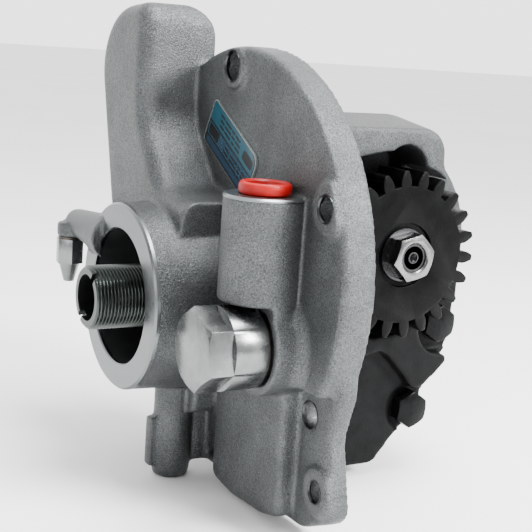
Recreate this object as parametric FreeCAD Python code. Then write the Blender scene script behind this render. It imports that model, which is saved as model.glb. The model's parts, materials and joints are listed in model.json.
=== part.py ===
"""Tractor hydraulic gear pump: manifold with spin-on filter head, pump and drive gear.

Frame: the origin is the centre of the round mounting plate on its back face.
+X points into the tractor housing (pump side), -X outwards (filter side),
+Z is up, and the drive gear and its nut face -Y. All sizes are millimetres.
"""
import FreeCAD, Part
import math
import os

os.makedirs("parts", exist_ok=True)

V = FreeCAD.Vector
AXES = {"x": V(1, 0, 0), "y": V(0, 1, 0), "z": V(0, 0, 1)}

# ---- driving dimensions -------------------------------------------------------------

# Mounting plate and its thin lower foot
PLATE_R = 92.0
PLATE_T = 14.5
PLATE_EDGE_R = 2.5
FOOT_T = 8.0
STEP_Z = -42.0             # the thick disc ends here and the foot carries on
FOOT_OUTLINE = [(-86.5, -25, 0), (-86.5, -41, 12), (-80.4, -60, 14), (-88.4, -92.5, 8),
                (-64, -104, 14), (28, -104, 14), (50, -76, 20), (44, -25, 0)]
HOLE_FACE_X = -17.0        # raised pads round the bolt holes
PLATE_HOLES = {            # name: (y, z, hole radius, pad radius, pad face x)
    "top": (4.8, 83.0, 6.4, 9.6, HOLE_FACE_X),
    "near": (-78.2, 33.3, 5.0, 10.4, HOLE_FACE_X),
    "low": (-65.2, -54.0, 5.3, 8.0, -FOOT_T),
    "ear": (-76.6, -82.8, 4.3, 9.8, -10.5),
    "far": (70.5, -46.5, 6.4, 10.0, HOLE_FACE_X),
}

# Groove for the seal cord in the plate's back face
CORD_OUTLINE = [(-67, 70, 26), (64, 73.5, 30), (50, -71.5, 14), (-56, -71.5, 12)]
CORD_WIDTH, CORD_DEPTH, CORD_ROOM = 2.4, 1.2, 0.1

# Tall passage on the far side of the plate
TONGUE_X = (-43.0, -6.0)
TONGUE_EDGE_R, TONGUE_BACK_R = 7.5, 17.0
TONGUE_TOP_Z = 109.5
TONGUE_OUTLINE = [(42, TONGUE_TOP_Z, 10), (103, 104, 30), (76, 10, 12), (60, -5, 0),
                  (-5, -5, 0), (-8, 25, 0), (18.5, 28.6, 14), (42, 57, 26)]

# Spin-on filter head and its threaded nipple
FILTER_Y, FILTER_Z = 22.5, -21.5
RING_X = -58.1
HEAD_R, HEAD_BASE_R = 41.7, 44.3
RECESS_R, RECESS_FLOOR_X = 30.5, -32.0
STUB_R, STUB_BORE_R, STUB_END_X = 14.29, 10.3, -72.9
STUB_SHANK_X, STUB_SHANK_R = -22.0, 13.8
STUB_THREAD_X = -32.5      # the thread stops just clear of the recess floor
STUB_NOTCH, STUB_NOTCH_TURN = (3.2, 2.4), 35.0   # width and depth of the driver notches

# Relief valve in line with the hex cap
RELIEF_Y, RELIEF_Z = -47.5, -27.9
RELIEF_FACE_X = -27.5
RELIEF_BOSS_R, RELIEF_FLARE = 21.0, (24.5, 4.0)   # flare: radius at the plate, length
RELIEF_BORE_R, RELIEF_BORE_END_X = 14.05, -8.0
SEAT_R, SEAT_HOLE_R, SEAT_T = 11.98, 6.0, 4.0
NOSE_CHAMBER_R, NOSE_BOSS_R = 7.0, 9.0
CAP_AF, CAP_END_X, CAP_COLLAR_X, CAP_COLLAR_R = 30.8, -54.7, -43.6, 17.5
CAP_SHANK_X, CAP_BORE_R, CAP_BORE_END_X = -12.0, 8.55, -49.0
CAP_WASHER_T, CAP_WASHER_R = 1.3, 16.1
POPPET_R, POPPET_HOLLOW_R, POPPET_TAIL_X = 8.5, 6.5, -30.0
SPRING_WIRE_R, SPRING_MEAN_R, SPRING_TURNS = 0.9, 5.2, 9

# Upright delivery port with its shipping plug
PORT_X, PORT_Y, PORT_TOP_Z = -26.1, RELIEF_Y, 34.6
PORT_BOSS_R, PORT_BORE_R, PORT_BORE_END_Z = 16.8, 9.4, -6.5
PORT_FRONT_END_Z = -9.0    # the boss stops here in front of the relief boss
PLUG_RIM_R, PLUG_RIM_T, PLUG_GAP = 10.8, 4.8, 0.3
PLUG_STEM_R, PLUG_STEM_L, PLUG_WALL = 9.05, 12.0, 1.5

# Drilled oil galleries inside the manifold
GALLERY_R, CROSS_R = 3.0, 2.5
RISER_X, RISER_TOP_Z, RISER_BOSS_R = -0.5, -2.0, 6.5
BACK_BOSS_X = 7.0
CROSS_X, CROSS_END_Y = -4.4, 80.0
DRAIN_X, DRAIN_Z, DRAIN_R = -10.0, -24.0, 1.6
GALLERY_PLUG_Y = (60.0, 70.0)

# Lower casting: sump bulge and the hanging return boss
BULGE_X, BULGE_EDGE_R = -16.5, 2.5
BULGE_OUTLINE = [(-57.6, -30, 0), (-58.6, -100.5, 4), (-44, -104.5, 12), (-18, -106, 25),
                 (2, -103.5, 5), (2, -30, 0)]
# Web between the bulge and the hanging boss: (x range, y range, z range) of each box
WEB = ((-13, -2), (0, 22), (-101, -58))
WEB_POCKET = ((-14, -6), (4.5, 13.5), (-97, -86))
WEB_RIB = ((-19, -8), (14.5, 18), (-101, -70))
GUSSET_X, GUSSET_OUTLINE = (-26.0, -8.0), [(4, -52, 0), (4, -76, 6), (30, -73, 0), (30, -52, 0)]
RETURN_X, RETURN_Y, RETURN_R, RETURN_END_Z = -28.6, 20.0, 9.0, -104.5
SPIGOT_R, SPIGOT_L = 8.4, 3.0
RETURN_RIB_T, RETURN_RIB_REACH = 6.0, 12.5

# Small union on the far side of the filter head
SIDE_X, SIDE_Y, SIDE_Z = -53.0, 88.0, 1.0
SIDE_ARM_R, SIDE_BOSS_R, SIDE_BORE_R = 10.5, 6.5, 3.2
UNION_AF, UNION_X = 12.0, -57.0
UNION_Z = (-6.0, -7.0, -19.2, -28.4)   # boss face, washer, hex end, nose end

# Label plate, lying on the plate face
LABEL_SIZE = (48.0, 21.5, 1.0)
LABEL_YZ, LABEL_TILT = (5.0, 47.2), 28.5

# Drive gear: 8 diametral pitch
GEAR_X, GEAR_Z = 53.65, 5.4
GEAR_TEETH, GEAR_MODULE, GEAR_PHASE = 22, 3.175, 27.6
GEAR_Y = (-38.0, -18.0)
GEAR_BORE_R, GEAR_HUB_R, GEAR_HUB_Y = 9.03, 15.0, -15.6
GEAR_RECESS_R, GEAR_RECESS_DEPTH = 14.5, 2.2
NUT_AF, NUT_Y, NUT_PHASE = 19.05, -45.5, 16.0
LOCK_WASHER_R, LOCK_WASHER_T = 12.0, 1.1
SHAFT_THREAD_R, SHAFT_END_Y = 6.35, -44.0
KEY = (4.0, 4.0, 15.0)     # width, height, length

# Gear pump, all its axes along Y
PUMP_MODULE, PUMP_TEETH, PUMP_ANGLE = 3.0, 14, 25.0
CENTRE_GAP = PUMP_MODULE * PUMP_TEETH
DRIVEN_Z = GEAR_Z - CENTRE_GAP
JOURNAL_R, BUSH_BORE_R, BUSH_R = 10.0, 10.05, 11.95
TIP_R = PUMP_MODULE * PUMP_TEETH / 2 + PUMP_MODULE
CHAMBER_R, BLOCK_R = TIP_R + 0.08, TIP_R
WALL_Y = (-14.0, -2.0)     # aluminium support wall
COVER_Y = 12.0             # cast iron front cover ends here
BODY_Y = 54.0              # aluminium gear body ends here
REAR_Y = 70.0              # cast iron rear cover ends here
GEARS_Y = (24.0, 42.0)     # pump gear faces
AXIAL_GAP = 0.1
CASE_R = 39.0
SEAL_GROOVE = (31.5, 33.3, 1.8)          # inner, outer radius and depth
OIL_HOLE_R, OIL_HOLE_X = 3.0, 18.85      # axial oil holes beside the mesh
INLET_R, OUTLET_R = 8.0, 6.0
OUTLET_Z = -57.0
INLET_Z = (GEAR_Z + DRIVEN_Z) / 2
PUMP_MID_Y = (GEARS_Y[0] + GEARS_Y[1]) / 2
BUSH_HOUSING_R, WALL_BUSH_R = 12.0, 13.0
LIP_SEAL = (16.0, 0.0, 6.5)              # radius, start y, end y
CIRCLIP = (17.0, 13.0, -1.6, -0.4)       # outer, inner radius, start y, end y

# Aluminium drive support: a wall behind the gear and a hood above it
WALL_R, WALL_BOTTOM_Z = 52.0, -10.0
HOOD_Y = (-34.0, -2.0)
HOOD_TOP_Z = (61.3, 65.8)
HOOD_RIGHT_X, HOOD_CORNER_R = 74.5, 12.0
HOOD_LIP = (78.2, 37.0)
HOOD_EDGE = [(0.0, 43.3), (45.4, 51.4)]  # straight lower edge of the hood
GEAR_ROOM_R = 40.4
RELIEF_CUT = (53.65, 43.3, 10.8)         # round relief above the gear: x, z, radius
FLANGE_X, FLANGE_Y, FLANGE_Z = 9.0, 42.0, (4.0, 60.0)
SUPPORT_SCREWS = [(y, z) for y in (14.0, 34.0) for z in (12.0, 52.0)]
SCREW_R, SCREW_HEAD_R, SCREW_HEAD_H = 3.0, 5.0, 5.0

# Cast iron front cover
BLOCK_TOP_Z, BLOCK_FACE_Y = -10.6, -16.0
BLOCK_OUTLINE = [(9, -10.6, 3), (104, -10.6, 4), (102.5, -42, 10), (88, -63, 6), (90, -80, 9),
                 (74, -87, 8), (62, -101.5, 7), (30, -101.5, 16), (9, -76, 14)]
ARM_FACE_Y = -23.0
ARM_OUTLINE = [(30, -34, 0), (74, -28, 4), (97, -50, 3), (79, -66, 6), (70.5, -56, 4),
               (58, -43, 8), (34, -48, 0)]
ARM_CLEAR_R = 41.6
SPOTFACE_Y = -14.2
FRONT_BOLTS = [(92.0, -32.9), (79.8, -75.0), (15.3, -32.9), (27.5, -75.0)]
REAR_BOLTS = [(25.0, 38.0), (82.3, 38.0)]
BOLT_R, BOLT_HOLE_R, BOLT_TAPPED_R = 4.76, 5.0, 4.8
BOLT_AF, BOLT_HEAD_H = 15.9, 6.3
LUG_R, SPOTFACE_R = 10.5, 11.6
ARM_SPOTFACE_R = 14.6
DOWELS = [(GEAR_X, GEAR_Z + 36.1), (GEAR_X, DRIVEN_Z - 36.1)]
DOWEL_R, DOWEL_Y = 2.5, (4.0, 20.0)


# ---- small shape helpers ------------------------------------------------------------

def at(axis, along, u, v):
    """Point from its place along an axis and its two other coordinates in X, Y, Z order."""
    return {"x": V(along, u, v), "y": V(u, along, v), "z": V(u, v, along)}[axis]


def rod(axis, radius, start, end, u, v):
    return Part.makeCylinder(radius, end - start, at(axis, start, u, v), AXES[axis])


def cone(axis, r_start, r_end, start, end, u, v):
    return Part.makeCone(r_start, r_end, end - start, at(axis, start, u, v), AXES[axis])


def ring(axis, outer, inner, start, end, u, v):
    return rod(axis, outer, start, end, u, v).cut(rod(axis, inner, start, end, u, v))


def block(x, y, z):
    return Part.makeBox(x[1] - x[0], y[1] - y[0], z[1] - z[0], V(x[0], y[0], z[0]))


def fuse(*shapes):
    return shapes[0].multiFuse(list(shapes[1:])).removeSplitter()


def cut(shape, *tools):
    for tool in tools:
        shape = shape.cut(tool)
    return shape


def rounded_wire(corners, axis, along):
    """Closed outline through (u, v, corner radius) points, with tangent corner arcs."""
    edges = []
    last = None
    first = None
    count = len(corners)
    for i, (u, v, radius) in enumerate(corners):
        corner = at(axis, along, u, v)
        before = at(axis, along, *corners[i - 1][:2]).sub(corner).normalize()
        after = at(axis, along, *corners[(i + 1) % count][:2]).sub(corner).normalize()
        if radius > 0:
            half = before.getAngle(after) / 2
            leg = radius / math.tan(half)
            middle = before.add(after).normalize()
            reach = radius / math.sin(half) - radius
            start, end = corner.add(before * leg), corner.add(after * leg)
            arc = Part.Arc(start, corner.add(middle * reach), end).toShape()
        else:
            start, end, arc = corner, corner, None
        if last is not None:
            edges.append(Part.makeLine(last, start))
        if arc is not None:
            edges.append(arc)
        first = first or start
        last = end
    edges.append(Part.makeLine(last, first))
    return Part.Wire(edges)


def prism(corners, axis, start, end):
    face = Part.Face(rounded_wire(corners, axis, start))
    return face.extrude(AXES[axis] * (end - start))


def hexagon(axis, flats, start, end, u, v, phase=0.0, chamfer_start=False, chamfer_end=False):
    """Hex prism whose first corner is turned by phase from the second free axis to the first."""
    reach = flats / math.sqrt(3)
    turns = [math.radians(phase + 60 * k) for k in range(6)]
    shape = prism([(u + reach * math.sin(t), v + reach * math.cos(t), 0) for t in turns],
                  axis, start, end)
    rise = reach - flats / 2
    slope = math.tan(math.radians(30))
    if chamfer_start:
        height = rise * slope
        shape = shape.common(fuse(cone(axis, flats / 2, reach, start, start + height, u, v),
                                  rod(axis, reach + 1, start + height, end, u, v)))
    if chamfer_end:
        height = rise * slope
        shape = shape.common(fuse(rod(axis, reach + 1, start, end - height, u, v),
                                  cone(axis, reach, flats / 2, end - height, end, u, v)))
    return shape


def hull(axis, radius, a, b, start, end):
    """Rod swept between two centres: a slot-shaped prism."""
    along = V(b[0] - a[0], b[1] - a[1], 0)
    side = V(-along.y, along.x, 0).normalize() * radius
    quad = [(a[0] + side.x, a[1] + side.y, 0), (b[0] + side.x, b[1] + side.y, 0),
            (b[0] - side.x, b[1] - side.y, 0), (a[0] - side.x, a[1] - side.y, 0)]
    return fuse(prism(quad, axis, start, end), rod(axis, radius, start, end, *a),
                rod(axis, radius, start, end, *b))


def spur_gear(teeth, module, pressure, root_r, y0, y1, x, z, phase, backlash=0.0):
    """Involute gear along Y with one tooth turned by phase degrees from +Z towards +X."""
    pitch_r = module * teeth / 2
    base_r = pitch_r * math.cos(math.radians(pressure))
    tip_r = pitch_r + module
    inv_pitch = math.tan(math.radians(pressure)) - math.radians(pressure)
    half_tooth = math.pi / 2 / teeth - backlash / 2 / pitch_r

    def flank_angle(r):
        cos_a = min(1.0, base_r / r)
        return half_tooth + inv_pitch - (math.tan(math.acos(cos_a)) - math.acos(cos_a))

    def point(r, angle):
        return V(x + r * math.sin(angle), y0, z + r * math.cos(angle))

    steps = 6
    start_r = max(base_r, root_r)
    radii = [start_r + (tip_r - start_r) * k / steps for k in range(steps + 1)]
    edges = []
    pitch = 2 * math.pi / teeth
    for k in range(teeth):
        centre = math.radians(phase) + pitch * k
        low = flank_angle(start_r)
        left_root = point(root_r, centre - low)
        rise = [point(r, centre - flank_angle(r)) for r in radii]
        fall = [point(r, centre + flank_angle(r)) for r in reversed(radii)]
        if start_r > root_r:
            edges.append(Part.makeLine(left_root, rise[0]))
        for points in (rise, fall):
            curve = Part.BSplineCurve()
            curve.interpolate(points)
            edges.append(curve.toShape())
            if points is rise:
                edges.append(Part.Arc(rise[-1], point(tip_r, centre), fall[0]).toShape())
        right_root = point(root_r, centre + low)
        if start_r > root_r:
            edges.append(Part.makeLine(fall[-1], right_root))
        next_root = point(root_r, centre + pitch - low)
        gap_middle = point(root_r, centre + pitch / 2)
        edges.append(Part.Arc(right_root, gap_middle, next_root).toShape())
    face = Part.Face(Part.Wire(edges))
    return face.extrude(V(0, y1 - y0, 0))


def save(name, shape):
    shape.exportStep(f"parts/{name}.step")
    print(f"{name:22s} solids {len(shape.Solids)} valid {shape.isValid()} mm3 {shape.Volume:.0f}")


# ---- manifold housing ---------------------------------------------------------------

def plate():
    disc = rod("x", PLATE_R, -PLATE_T, 0, 0, 0)
    rim = [e for e in disc.Edges if e.BoundBox.XMax < -PLATE_T + 0.1 and e.BoundBox.YLength > 1]
    disc = disc.makeFillet(PLATE_EDGE_R, rim)
    thick = disc.common(block((-PLATE_T, 0), (-PLATE_R, PLATE_R), (STEP_Z, PLATE_R)))
    thin = rod("x", PLATE_R, -FOOT_T, 0, 0, 0)
    foot = prism(FOOT_OUTLINE, "x", -FOOT_T, 0)
    face = [e for e in foot.Edges if e.BoundBox.XMax < -FOOT_T + 0.1]
    foot = foot.makeFillet(PLATE_EDGE_R, face)
    pads = [cone("x", pad_r, pad_r + 2, face_x, -FOOT_T + 1, y, z)
            for y, z, _, pad_r, face_x in PLATE_HOLES.values() if face_x < -FOOT_T]
    inside = fuse(rod("x", PLATE_R - 0.8, HOLE_FACE_X, -FOOT_T + 1, 0, 0),
                  prism(FOOT_OUTLINE, "x", HOLE_FACE_X, -FOOT_T + 1))
    return fuse(thick, thin, foot, *[pad.common(inside) for pad in pads])


def tongue():
    """Tall passage, with its front edges rounded and its top rolled over at the back."""
    front, back = TONGUE_X
    shape = prism(TONGUE_OUTLINE, "x", front, back)
    outer = [e for e in shape.Edges if e.BoundBox.XMax < front + 0.1
             and e.BoundBox.ZMin > 10]
    shape = shape.makeFillet(TONGUE_EDGE_R, outer)
    profile = [(front - 1, -10, 0), (front - 1, TONGUE_TOP_Z, 0),
               (back, TONGUE_TOP_Z, TONGUE_BACK_R), (back, -10, 0)]
    return shape.common(prism(profile, "y", -PLATE_R, 2 * PLATE_R))


def sump_bulge():
    shape = prism(BULGE_OUTLINE, "x", BULGE_X, 0)
    outer = [e for e in shape.Edges if e.BoundBox.XMax < BULGE_X + 0.1]
    return shape.makeFillet(BULGE_EDGE_R, outer)


def web():
    """Web, rib and gusset that tie the hanging boss to the bulge and the filter head."""
    shape = block(*WEB).cut(block(*WEB_POCKET))
    return fuse(shape, block(*WEB_RIB), prism(GUSSET_OUTLINE, "x", *GUSSET_X))


def side_boss():
    arm = cone("y", SIDE_ARM_R, SIDE_BOSS_R, FILTER_Y + 20, SIDE_Y, SIDE_X, SIDE_Z)
    end = Part.makeSphere(SIDE_BOSS_R, V(SIDE_X, SIDE_Y, SIDE_Z))
    drop = rod("z", SIDE_BOSS_R, UNION_Z[0], SIDE_Z, UNION_X, SIDE_Y)
    return fuse(arm, end, drop)


def port_boss():
    """Upright boss: its front half stops above the relief cap, its back half runs down."""
    front = rod("z", PORT_BOSS_R, PORT_FRONT_END_Z, PORT_TOP_Z, PORT_X, PORT_Y)
    back = rod("z", PORT_BOSS_R, RELIEF_Z, PORT_FRONT_END_Z, PORT_X, PORT_Y)
    reach = 2 * PORT_BOSS_R
    behind = block((RELIEF_FACE_X, 0), (PORT_Y - reach, PORT_Y + reach),
                   (RELIEF_Z, PORT_FRONT_END_Z))
    return fuse(front, back.common(behind))


def relief_boss():
    """Round boss of the relief valve, flared where it meets the thick disc."""
    flare_r, flare_l = RELIEF_FLARE
    flare = cone("x", RELIEF_BOSS_R, flare_r, -PLATE_T - flare_l, -PLATE_T, RELIEF_Y, RELIEF_Z)
    flare = flare.common(block((-PLATE_R, 0), (-PLATE_R, PLATE_R), (STEP_Z, PLATE_R)))
    return fuse(rod("x", RELIEF_BOSS_R, RELIEF_FACE_X, 0, RELIEF_Y, RELIEF_Z), flare)


def back_bosses():
    """Bosses on the plate's back that carry the riser and the relief valve's nose."""
    return fuse(hull("x", RISER_BOSS_R, (RELIEF_Y, OUTLET_Z), (RELIEF_Y, RISER_TOP_Z),
                     0, BACK_BOSS_X),
                rod("x", NOSE_BOSS_R, 0, BACK_BOSS_X, RELIEF_Y, RELIEF_Z))


def return_boss():
    shape = fuse(rod("z", RETURN_R, RETURN_END_Z, FILTER_Z, RETURN_X, RETURN_Y),
                 rod("z", SPIGOT_R, RETURN_END_Z - SPIGOT_L, RETURN_END_Z, RETURN_X, RETURN_Y))
    side = (RETURN_Y - RETURN_RIB_T / 2, RETURN_Y + RETURN_RIB_T / 2)
    return fuse(shape, block((RETURN_X - RETURN_RIB_REACH, RETURN_X), side, (-102.5, -79)),
                block((RETURN_X, -4), side, (-101.5, -60)))


def cord_ring(start, shrink=0.0):
    """Closed ring of the seal cord's groove, from start up to the plate's back face."""
    outer = rounded_wire(CORD_OUTLINE, "x", start)
    outer_face = Part.Face(outer)
    if shrink > 0:
        outer_face = outer_face.makeOffset2D(-shrink)
    inner_face = Part.Face(outer).makeOffset2D(-CORD_WIDTH + shrink)
    return outer_face.cut(inner_face).extrude(AXES["x"] * (0 - start))


def manifold_housing():
    head = cone("x", HEAD_R, HEAD_BASE_R, RING_X, 0, FILTER_Y, FILTER_Z)
    shape = fuse(plate(), tongue(), sump_bulge(), web(), side_boss(), head, port_boss(),
                 relief_boss(), back_bosses(), return_boss())
    seat_end_x = RELIEF_BORE_END_X + SEAT_T
    shape = cut(shape,
                rod("x", RECESS_R, RING_X, RECESS_FLOOR_X, FILTER_Y, FILTER_Z),
                rod("x", STUB_SHANK_R + 0.02, RECESS_FLOOR_X - 1, STUB_SHANK_X,
                    FILTER_Y, FILTER_Z),
                hull("x", INLET_R, (FILTER_Y, FILTER_Z), (PUMP_MID_Y, INLET_Z),
                     STUB_SHANK_X, 0),
                rod("x", CAP_COLLAR_R + 1.0, RING_X, RELIEF_FACE_X, RELIEF_Y, RELIEF_Z),
                rod("x", RELIEF_BORE_R, RELIEF_FACE_X, RELIEF_BORE_END_X, RELIEF_Y, RELIEF_Z),
                rod("x", SEAT_R + 0.02, RELIEF_BORE_END_X - 1, seat_end_x, RELIEF_Y, RELIEF_Z),
                rod("x", NOSE_CHAMBER_R, seat_end_x - 1, BACK_BOSS_X / 2, RELIEF_Y, RELIEF_Z),
                rod("z", PORT_BORE_R, PORT_BORE_END_Z, PORT_TOP_Z, PORT_X, PORT_Y),
                cone("z", PORT_BORE_R, PORT_BORE_R + 1.5, PORT_TOP_Z - 1.5, PORT_TOP_Z,
                     PORT_X, PORT_Y),
                rod("z", GALLERY_R, OUTLET_Z, RISER_TOP_Z, RISER_X, RELIEF_Y),
                rod("x", GALLERY_R, PORT_X, RISER_X + GALLERY_R, PORT_Y, RISER_TOP_Z),
                rod("y", CROSS_R, RELIEF_Y, CROSS_END_Y, CROSS_X, OUTLET_Z),
                rod("y", DRAIN_R, RELIEF_Y, FILTER_Y, DRAIN_X, DRAIN_Z),
                rod("x", OUTLET_R, -6.0, 0, PUMP_MID_Y, OUTLET_Z),
                cord_ring(-CORD_DEPTH),
                rod("z", SIDE_BORE_R, UNION_Z[0], SIDE_Z, UNION_X, SIDE_Y),
                rod("y", SIDE_BORE_R, FILTER_Y + 20, SIDE_Y - 2, SIDE_X, SIDE_Z))
    for y, z, hole_r, _, _ in PLATE_HOLES.values():
        shape = shape.cut(rod("x", hole_r, HOLE_FACE_X - 5, 1, y, z))
    for y, z in SUPPORT_SCREWS:
        shape = shape.cut(rod("x", SCREW_R + 0.02, -9.0, 0, y, z))
    return shape


def filter_stub():
    shape = fuse(rod("x", STUB_R, STUB_END_X, STUB_THREAD_X, FILTER_Y, FILTER_Z),
                 rod("x", STUB_SHANK_R, STUB_THREAD_X, STUB_SHANK_X - 1, FILTER_Y, FILTER_Z))
    shape = shape.cut(rod("x", STUB_BORE_R, STUB_END_X, STUB_SHANK_X - 1, FILTER_Y, FILTER_Z))
    width, depth = STUB_NOTCH
    notch = block((STUB_END_X, STUB_END_X + depth), (FILTER_Y - width / 2, FILTER_Y + width / 2),
                  (FILTER_Z - STUB_R, FILTER_Z + STUB_R))
    notch.rotate(V(0, FILTER_Y, FILTER_Z), AXES["x"], STUB_NOTCH_TURN)
    return shape.cut(notch)


def flange_seal():
    """Rubber cord that lies in the groove of the plate's back face."""
    return cord_ring(-CORD_DEPTH + CORD_ROOM, CORD_ROOM)


def gallery_plug():
    return rod("y", CROSS_R - 0.03, *GALLERY_PLUG_Y, CROSS_X, OUTLET_Z)


# ---- relief valve -------------------------------------------------------------------

def relief_cap():
    seat_x = RELIEF_FACE_X - CAP_WASHER_T
    shape = fuse(
        hexagon("x", CAP_AF, CAP_END_X, CAP_COLLAR_X, RELIEF_Y, RELIEF_Z, 7.0,
                chamfer_start=True),
        rod("x", CAP_COLLAR_R, CAP_COLLAR_X, seat_x, RELIEF_Y, RELIEF_Z),
        rod("x", RELIEF_BORE_R - 0.05, seat_x, CAP_SHANK_X, RELIEF_Y, RELIEF_Z))
    return shape.cut(rod("x", CAP_BORE_R, CAP_BORE_END_X, CAP_SHANK_X, RELIEF_Y, RELIEF_Z))


def relief_cap_washer():
    return ring("x", CAP_WASHER_R, RELIEF_BORE_R + 0.1, RELIEF_FACE_X - CAP_WASHER_T,
                RELIEF_FACE_X, RELIEF_Y, RELIEF_Z)


def relief_seat():
    return ring("x", SEAT_R, SEAT_HOLE_R, RELIEF_BORE_END_X, RELIEF_BORE_END_X + SEAT_T,
                RELIEF_Y, RELIEF_Z)


def relief_poppet():
    """Hollow plunger whose 45 degree nose stops just clear of the seat's edge."""
    seat_contact_r = SEAT_HOLE_R - 0.06
    base_x = RELIEF_BORE_END_X - (POPPET_R - seat_contact_r)
    tip_r = 4.0
    tip_x = RELIEF_BORE_END_X + (seat_contact_r - tip_r)
    shape = fuse(rod("x", POPPET_R, POPPET_TAIL_X, base_x, RELIEF_Y, RELIEF_Z),
                 cone("x", POPPET_R, tip_r, base_x, tip_x, RELIEF_Y, RELIEF_Z))
    return shape.cut(rod("x", POPPET_HOLLOW_R, POPPET_TAIL_X, base_x - 2, RELIEF_Y, RELIEF_Z))


def relief_spring():
    start = CAP_BORE_END_X + SPRING_WIRE_R + 0.1
    end = RELIEF_BORE_END_X - (POPPET_R - SEAT_HOLE_R) - 2 - SPRING_WIRE_R - 0.2
    length = end - start
    helix = Part.makeHelix(length / SPRING_TURNS, length, SPRING_MEAN_R)
    wire_start = V(SPRING_MEAN_R, 0, 0)
    circle = Part.Wire(Part.makeCircle(SPRING_WIRE_R, wire_start, V(0, 1, 0)))
    spring = Part.Wire(helix.Edges).makePipeShell([circle], True, True)
    spring.rotate(V(0, 0, 0), AXES["y"], 90)
    spring.translate(V(start, RELIEF_Y, RELIEF_Z))
    return spring


# ---- port plug, label, side union ---------------------------------------------------

def port_plug():
    rim_z = PORT_TOP_Z + PLUG_GAP
    shape = fuse(rod("z", PLUG_RIM_R, rim_z, rim_z + PLUG_RIM_T, PORT_X, PORT_Y),
                 rod("z", PLUG_STEM_R, rim_z - PLUG_STEM_L, rim_z, PORT_X, PORT_Y))
    rim = [e for e in shape.Edges if e.BoundBox.XLength > 2 * PLUG_RIM_R - 0.1]
    shape = shape.makeFillet(1.6, rim)
    hollow_r = PLUG_STEM_R - PLUG_WALL
    return cut(shape, rod("z", hollow_r, rim_z - PLUG_STEM_L, rim_z - 1.0, PORT_X, PORT_Y),
               rod("z", hollow_r, rim_z + 1.5, rim_z + PLUG_RIM_T, PORT_X, PORT_Y))


def label_plate():
    length, width, thick = LABEL_SIZE
    y, z = LABEL_YZ
    half_l, half_w = length / 2, width / 2
    corners = [(-half_l, -half_w, 2), (half_l, -half_w, 2), (half_l, half_w, 2),
               (-half_l, half_w, 2)]
    shape = prism(corners, "x", -PLATE_T - thick, -PLATE_T)
    shape.rotate(V(0, 0, 0), AXES["x"], LABEL_TILT)
    shape.translate(V(0, y, z))
    return shape


def side_union_washer():
    return ring("z", 5.8, 3.3, UNION_Z[1], UNION_Z[0], UNION_X, SIDE_Y)


def side_union():
    hex_part = hexagon("z", UNION_AF, UNION_Z[2], UNION_Z[1], UNION_X, SIDE_Y, 10.0)
    nose = cone("z", 2.6, 5.2, UNION_Z[3], UNION_Z[2], UNION_X, SIDE_Y)
    shank_end = UNION_Z[0] + 4.0
    shank = rod("z", SIDE_BORE_R - 0.05, UNION_Z[1], shank_end, UNION_X, SIDE_Y)
    bore = rod("z", 1.6, UNION_Z[3], shank_end, UNION_X, SIDE_Y)
    return fuse(hex_part, nose, shank).cut(bore)


# ---- drive train --------------------------------------------------------------------

def drive_gear():
    root_r = GEAR_MODULE * GEAR_TEETH / 2 - 1.25 * GEAR_MODULE
    y0, y1 = GEAR_Y
    shape = fuse(spur_gear(GEAR_TEETH, GEAR_MODULE, 20, root_r, y0, y1, GEAR_X, GEAR_Z,
                           GEAR_PHASE),
                 rod("y", GEAR_HUB_R, y1, GEAR_HUB_Y, GEAR_X, GEAR_Z))
    shape = cut(shape, rod("y", GEAR_BORE_R, y0, GEAR_HUB_Y, GEAR_X, GEAR_Z),
                rod("y", GEAR_RECESS_R, y0, y0 + GEAR_RECESS_DEPTH, GEAR_X, GEAR_Z))
    return shape.cut(key_slot(0.03))


def key_slot(room):
    """The key's own block, grown by room on its sides."""
    width, height, length = KEY
    mid_y = (GEAR_Y[0] + GEAR_RECESS_DEPTH + GEAR_HUB_Y) / 2
    low = GEAR_BORE_R - height / 2
    return block((GEAR_X - width / 2 - room, GEAR_X + width / 2 + room),
                 (mid_y - length / 2 - room, mid_y + length / 2 + room),
                 (GEAR_Z + low - room, GEAR_Z + low + height + room))


def drive_shaft():
    """Input shaft with its pump gear cut in one piece."""
    front_y = GEAR_Y[0] + GEAR_RECESS_DEPTH
    shape = fuse(
        rod("y", SHAFT_THREAD_R, SHAFT_END_Y, front_y, GEAR_X, GEAR_Z),
        rod("y", GEAR_BORE_R - 0.03, front_y, GEAR_HUB_Y, GEAR_X, GEAR_Z),
        rod("y", JOURNAL_R, GEAR_HUB_Y, BODY_Y - 0.6, GEAR_X, GEAR_Z),
        pump_gear(GEAR_Z, 0.0))
    centre_drill = cone("y", 2.6, 0.6, SHAFT_END_Y, SHAFT_END_Y + 3, GEAR_X, GEAR_Z)
    return cut(shape, centre_drill, key_slot(0.03))


def pump_gear(z, phase):
    root_r = PUMP_MODULE * PUMP_TEETH / 2 - 1.25 * PUMP_MODULE
    return spur_gear(PUMP_TEETH, PUMP_MODULE, PUMP_ANGLE, root_r, GEARS_Y[0] + AXIAL_GAP,
                     GEARS_Y[1] - AXIAL_GAP, GEAR_X, z, phase, backlash=0.16)


def driven_gear():
    """Driven pump gear: a gap faces the drive gear's tooth that points straight down."""
    return fuse(pump_gear(DRIVEN_Z, 180.0 / PUMP_TEETH),
                rod("y", JOURNAL_R, COVER_Y + 0.6, BODY_Y - 0.6, GEAR_X, DRIVEN_Z))


def lock_washer():
    start = GEAR_Y[0] + GEAR_RECESS_DEPTH - LOCK_WASHER_T
    return ring("y", LOCK_WASHER_R, SHAFT_THREAD_R + 0.25, start, start + LOCK_WASHER_T,
                GEAR_X, GEAR_Z)


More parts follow.
